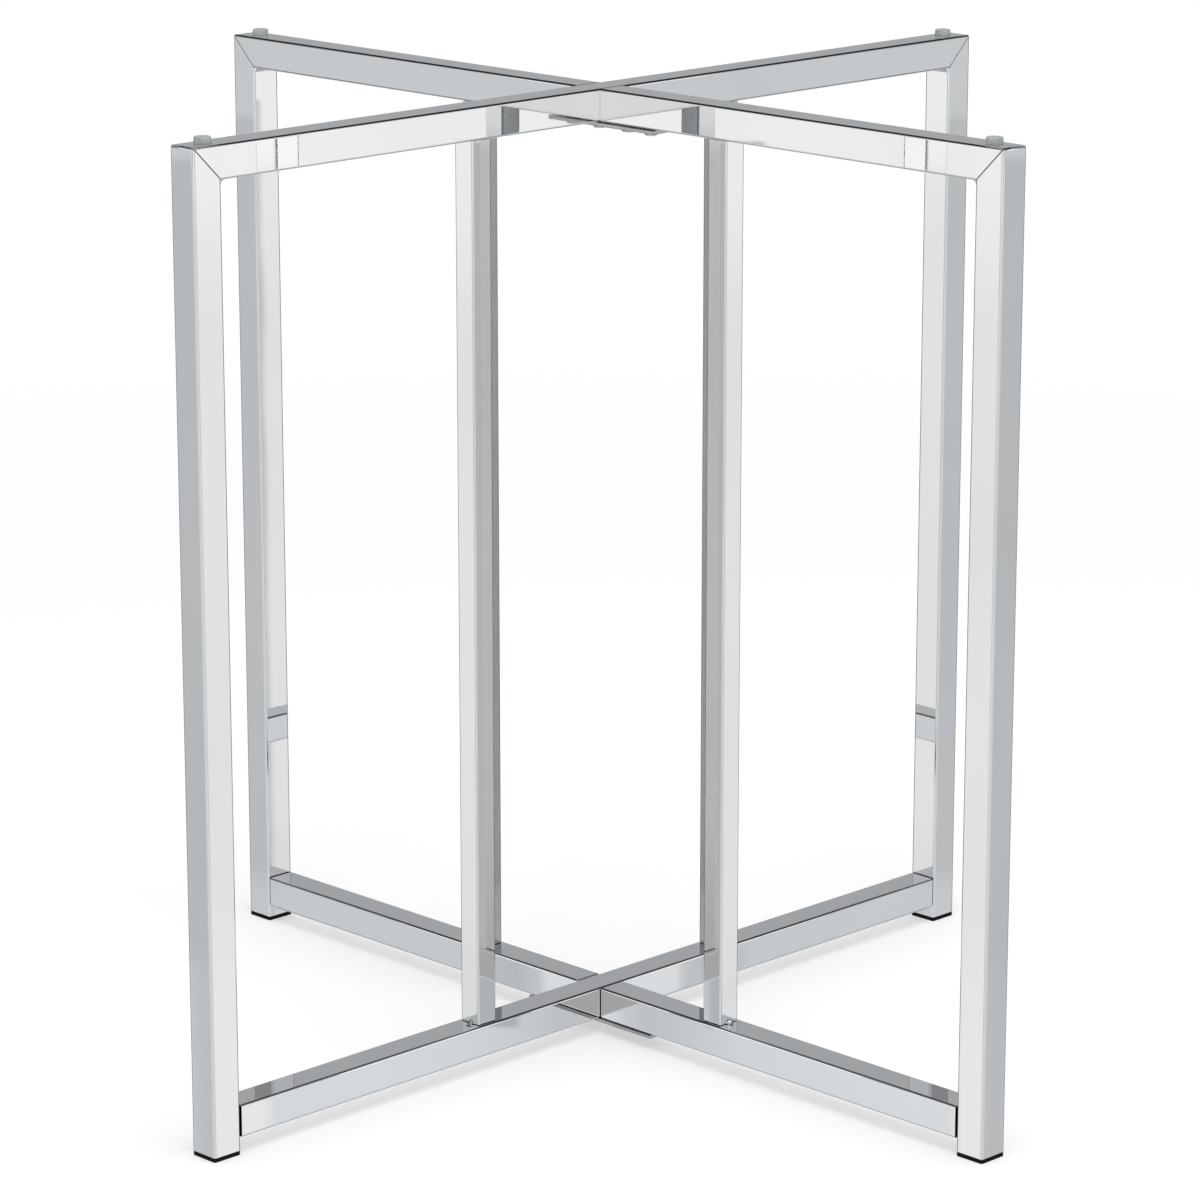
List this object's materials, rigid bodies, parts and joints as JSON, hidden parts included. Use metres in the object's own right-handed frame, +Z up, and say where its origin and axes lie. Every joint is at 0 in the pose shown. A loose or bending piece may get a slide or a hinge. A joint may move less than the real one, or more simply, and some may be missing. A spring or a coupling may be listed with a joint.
{
  "type": "dining table base",
  "caption": "Cross-shaped chrome table base of square steel tube frames with outer legs, slim inner posts, low rails, plastic feet and clear bumpers for a loose top.",
  "frame": {"origin": "on the floor, under the crossing of the two frames", "axes": "+Z up, +X along the unbroken main frame, +Y along the two half frames that butt against it"},
  "size_m": [0.814, 0.814, 0.75],
  "materials": {
    "frame_chrome": "polished",
    "plate_chrome": "polished",
    "weld_chrome": "polished",
    "bolt_zinc": "satin",
    "insert_steel": "satin",
    "foot_plastic": "matte",
    "bumper_clear": "gloss"
  },
  "bodies": {
    "root": {"front_bottom_rail": "frame_chrome", "front_bumper": "bumper_clear", "front_foot": "foot_plastic", "front_leg": "frame_chrome", "front_post": "frame_chrome", "front_top_rail": "frame_chrome", "left_bumper": "bumper_clear", "left_foot": "foot_plastic", "left_leg": "frame_chrome", "left_post": "frame_chrome", "lower_joining_plate": "plate_chrome", "main_bottom_rail": "frame_chrome", "main_top_rail": "frame_chrome", "plate_bolts": "bolt_zinc", "post_weld_beads": "weld_chrome", "rear_bottom_rail": "frame_chrome", "rear_bumper": "bumper_clear", "rear_foot": "foot_plastic", "rear_leg": "frame_chrome", "rear_post": "frame_chrome", "rear_top_rail": "frame_chrome", "right_bumper": "bumper_clear", "right_foot": "foot_plastic", "right_leg": "frame_chrome", "right_post": "frame_chrome", "threaded_inserts": "insert_steel", "upper_joining_plate": "plate_chrome"}
  },
  "joints": []
}
